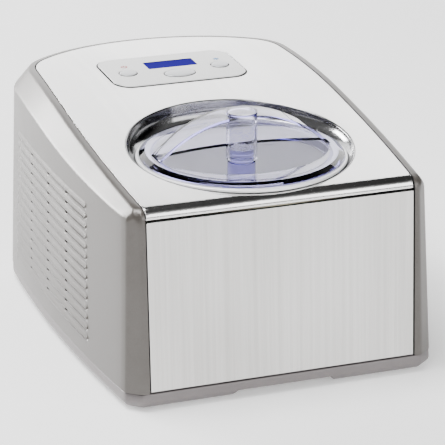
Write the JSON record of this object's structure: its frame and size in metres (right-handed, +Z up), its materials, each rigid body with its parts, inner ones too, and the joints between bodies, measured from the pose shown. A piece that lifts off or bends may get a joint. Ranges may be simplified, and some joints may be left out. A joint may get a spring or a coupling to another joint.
{
  "type": "ice cream maker",
  "caption": "Countertop ice cream maker with a built-in compressor, a lift-out bowl, a spinning paddle under a clear lid with an arched handle, and a sloping top with a display.",
  "frame": {"origin": "on the table, below the middle of the appliance", "axes": "+Z up, the front panel faces -Y, +X to the right of someone who looks at the front"},
  "size_m": [0.3064, 0.4138, 0.2192],
  "materials": {
    "housing_silver": "satin metallic paint",
    "tray_silver": "satin metallic paint",
    "brushed_stainless": "brushed",
    "polished_steel": "mirror polished",
    "bezel_silver": "satin paint",
    "button_grey": "satin",
    "display_blue": "gloss, backlit blue",
    "black_plastic": "matt",
    "circuit_green": "satin",
    "zinc_steel": "zinc plated",
    "deck_plastic": "matt",
    "switch_black": "matt",
    "cup_aluminium": "spun",
    "copper": "drawn copper",
    "foam": "foamed",
    "black_rubber": "matt",
    "sintered_bronze": "sintered",
    "gear_nylon": "moulded nylon",
    "black_enamel": "gloss enamel",
    "clear_plastic": "clear moulded"
  },
  "bodies": {
    "base": {"outer_housing": "housing_silver", "base_tray": "tray_silver", "front_panel": "brushed_stainless", "top_panel": "brushed_stainless", "recess_ring": "polished_steel", "control_bezel": "bezel_silver", "display_window": "display_blue", "display_module": "black_plastic", "compressor_relay": "black_plastic", "fan_frame": "black_plastic", "fan_motor": "black_plastic", "power_gland": "black_plastic", "transformer": "black_plastic", "control_board": "circuit_green", "power_board": "circuit_green", "board_screws": "zinc_steel", "base_screws": "zinc_steel", "gearbox_screws": "zinc_steel", "compressor_bolts": "zinc_steel", "idler_axle": "zinc_steel", "gear_motor": "zinc_steel", "compressor_plate": "zinc_steel", "deck_frame": "deck_plastic", "gearbox_case": "deck_plastic", "gearbox_lid": "deck_plastic", "key_switches": "switch_black", "evaporator_cup": "cup_aluminium", "condenser_fins": "cup_aluminium", "evaporator_coil": "copper", "condenser_tubes": "copper", "filter_drier": "copper", "suction_line": "copper", "discharge_line": "copper", "insulation_jacket": "foam", "rubber_feet": "black_rubber", "shaft_seal": "black_rubber", "compressor_grommets": "black_rubber", "shaft_bearings": "sintered_bronze", "compressor_shell": "black_enamel"},
    "bowl": {"mixing_bowl": "cup_aluminium"},
    "paddle": {"mixing_paddle": "clear_plastic"},
    "lid_body": {"lid": "clear_plastic"},
    "drive": {"drive_shaft": "zinc_steel", "output_gear": "gear_nylon"},
    "idler": {"idler_gear": "gear_nylon"},
    "pinion": {"motor_pinion": "gear_nylon"},
    "fan": {"fan_rotor": "deck_plastic"},
    "power_key": {"power_button": "button_grey"},
    "start_key": {"start_button": "button_grey"},
    "chill_key": {"chill_button": "button_grey"}
  },
  "joints": [
    {"name": "bowl_lift", "type": "slide", "parent": "base", "child": "bowl", "axis": [0, 0, 1], "range_m": [0, 0.16]},
    {"name": "lid_lift", "type": "slide", "parent": "bowl", "child": "lid_body", "axis": [0, 0, 1], "range_m": [0, 0.08]},
    {"name": "drive_spin", "type": "hinge", "parent": "base", "child": "drive", "pos_m": [0, -0.098, 0.06], "axis": [0, 0, 1], "continuous": true},
    {"name": "paddle_spin", "type": "hinge", "parent": "bowl", "child": "paddle", "pos_m": [0, -0.098, 0.12], "axis": [0, 0, 1], "continuous": true},
    {"name": "idler_spin", "type": "hinge", "parent": "base", "child": "idler", "pos_m": [0, -0.034, 0.055], "axis": [0, 0, 1], "continuous": true},
    {"name": "pinion_spin", "type": "hinge", "parent": "base", "child": "pinion", "pos_m": [0, 0.006, 0.05], "axis": [0, 0, 1], "continuous": true},
    {"name": "fan_spin", "type": "hinge", "parent": "base", "child": "fan", "pos_m": [-0.1, 0.065, 0.082], "axis": [1, 0, 0], "continuous": true},
    {"name": "power_press", "type": "slide", "parent": "base", "child": "power_key", "axis": [0, 0, -1], "range_m": [0, 0.001], "stiffness_N_per_m": 300, "springref_m": -0.0005},
    {"name": "start_press", "type": "slide", "parent": "base", "child": "start_key", "axis": [0, 0, -1], "range_m": [0, 0.001], "stiffness_N_per_m": 300, "springref_m": -0.0005},
    {"name": "chill_press", "type": "slide", "parent": "base", "child": "chill_key", "axis": [0, 0, -1], "range_m": [0, 0.001], "stiffness_N_per_m": 300, "springref_m": -0.0005}
  ],
  "couplings": [
    {"joint": "paddle_spin", "follows": "drive_spin", "ratio": 1},
    {"joint": "idler_spin", "follows": "drive_spin", "ratio": -3},
    {"joint": "pinion_spin", "follows": "drive_spin", "ratio": 9}
  ]
}
